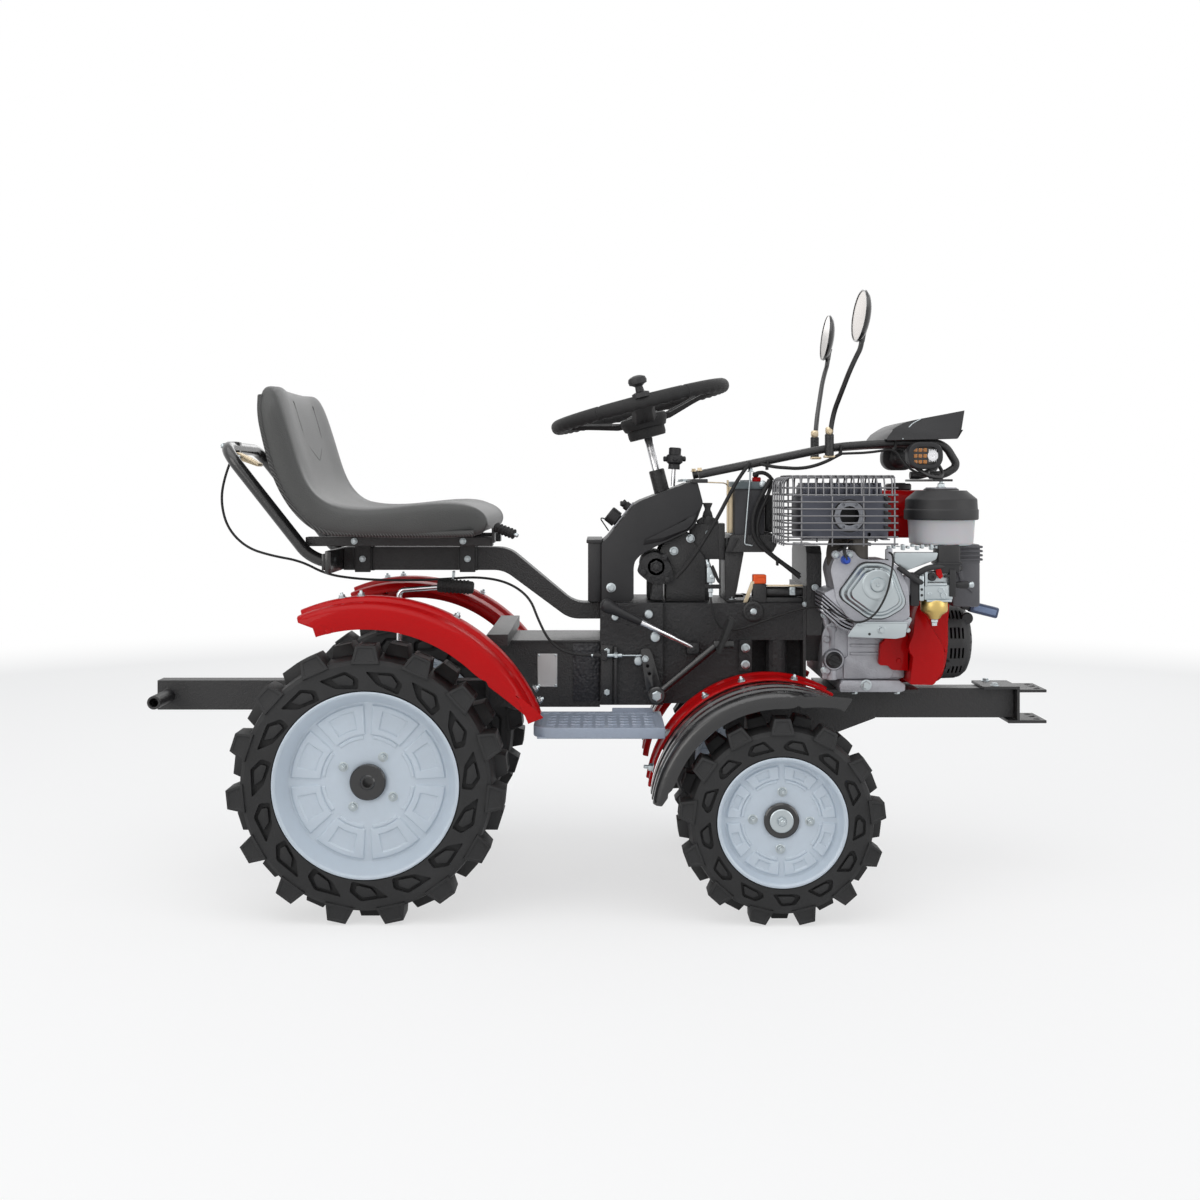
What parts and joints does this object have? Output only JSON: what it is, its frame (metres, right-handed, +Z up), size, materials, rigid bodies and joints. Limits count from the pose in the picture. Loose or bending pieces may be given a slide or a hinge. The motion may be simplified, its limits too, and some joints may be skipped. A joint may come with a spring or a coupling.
{
  "type": "ride-on tiller tractor",
  "caption": "Small open ride-on tractor for garden tillage: front petrol engine, lugged wheels, padded seat, steered front axle and drilled hitches.",
  "frame": {"origin": "on the ground below the middle of the machine's length and width", "axes": "+X forward toward the engine, +Y to the driver's left, +Z up"},
  "size_m": [1.804, 0.7, 1.1688],
  "materials": {
    "aluminium": "cast",
    "black": "semi-gloss black paint",
    "cable": "black sheath",
    "clear": "milky clear plastic",
    "plastic": "black plastic",
    "red": "gloss red enamel",
    "rim": "pale blue-grey enamel",
    "tyre": "matte moulded rubber",
    "vinyl": "dark grey vinyl",
    "zinc": "zinc plated"
  },
  "bodies": {
    "chassis": {"battery": "plastic", "battery_stand": "black", "bonnet_bars": "black", "brake_cable": "cable", "carburettor": "aluminium", "centre_frame": "black", "cleaner_bowl": "clear", "cleaner_lid": "plastic", "clutch_housing": "black", "console": "plastic", "crankcase": "aluminium", "cylinder": "aluminium", "drawbar": "black", "drive_lever": "black", "fan_shroud": "red", "fender_carrier": "black", "front_axle": "black", "front_beam": "black", "front_fender_inner": "red", "front_fender_left": "plastic", "front_fender_right": "plastic", "front_hitch": "black", "fuel_tank": "red", "gear_lever": "black", "gearbox_casting": "black", "headlamps": "plastic", "intake_duct": "plastic", "mirror_left": "plastic", "mirror_right": "plastic", "muffler": "black", "muffler_guard": "black", "pedal": "black", "rear_axle": "black", "rear_box": "black", "rear_fender_left": "red", "rear_fender_right": "red", "rear_handle": "black", "recoil_starter": "plastic", "seat": "vinyl", "seat_beam": "black", "seat_frame": "black", "seat_lever": "black", "steering_column": "black", "steps": "rim", "throttle_cable": "cable", "valve_cover": "zinc", "visor": "plastic"},
    "rear_wheel_left": {"rear_tyre_left": "tyre", "rear_rim_left": "rim"},
    "rear_wheel_right": {"rear_tyre_right": "tyre", "rear_rim_right": "rim"},
    "front_wheel_left": {"front_tyre_left": "tyre", "front_rim_left": "rim"},
    "front_wheel_right": {"front_tyre_right": "tyre", "front_rim_right": "rim"},
    "knuckle_left": {"knuckle_left": "black"},
    "knuckle_right": {"knuckle_right": "black"},
    "tie_rod": {"tie_rod": "black"},
    "steering": {"steering_wheel": "plastic", "steering_shaft": "zinc"}
  },
  "joints": [
    {"name": "steering_turn", "type": "hinge", "parent": "chassis", "child": "steering", "pos_m": [0.0821, 0, 0.957], "axis": [-0.2487, 0, 0.9686], "range_deg": [-300, 300]},
    {"name": "knuckle_left_steer", "type": "hinge", "parent": "chassis", "child": "knuckle_left", "pos_m": [0.3295, 0.222, 0.207], "axis": [0, 0, 1], "range_deg": [-24, 24]},
    {"name": "knuckle_right_steer", "type": "hinge", "parent": "chassis", "child": "knuckle_right", "pos_m": [0.3295, -0.222, 0.207], "axis": [0, 0, 1], "range_deg": [-24, 24]},
    {"name": "tie_rod_pivot", "type": "hinge", "parent": "knuckle_left", "child": "tie_rod", "pos_m": [0.2375, 0.222, 0.189], "axis": [0, 0, 1], "range_deg": [-24, 24]},
    {"name": "front_left_spin", "type": "hinge", "parent": "knuckle_left", "child": "front_wheel_left", "pos_m": [0.3295, 0.298, 0.187], "axis": [0, 1, 0], "continuous": true},
    {"name": "front_right_spin", "type": "hinge", "parent": "knuckle_right", "child": "front_wheel_right", "pos_m": [0.3295, -0.298, 0.187], "axis": [0, 1, 0], "continuous": true},
    {"name": "rear_left_spin", "type": "hinge", "parent": "chassis", "child": "rear_wheel_left", "pos_m": [-0.4245, 0.282, 0.253], "axis": [0, 1, 0], "continuous": true},
    {"name": "rear_right_spin", "type": "hinge", "parent": "chassis", "child": "rear_wheel_right", "pos_m": [-0.4245, -0.282, 0.253], "axis": [0, 1, 0], "continuous": true}
  ],
  "couplings": [
    {"joint": "knuckle_left_steer", "follows": "steering_turn", "ratio": 0.08},
    {"joint": "knuckle_right_steer", "follows": "steering_turn", "ratio": 0.08},
    {"joint": "tie_rod_pivot", "follows": "steering_turn", "ratio": -0.08}
  ]
}
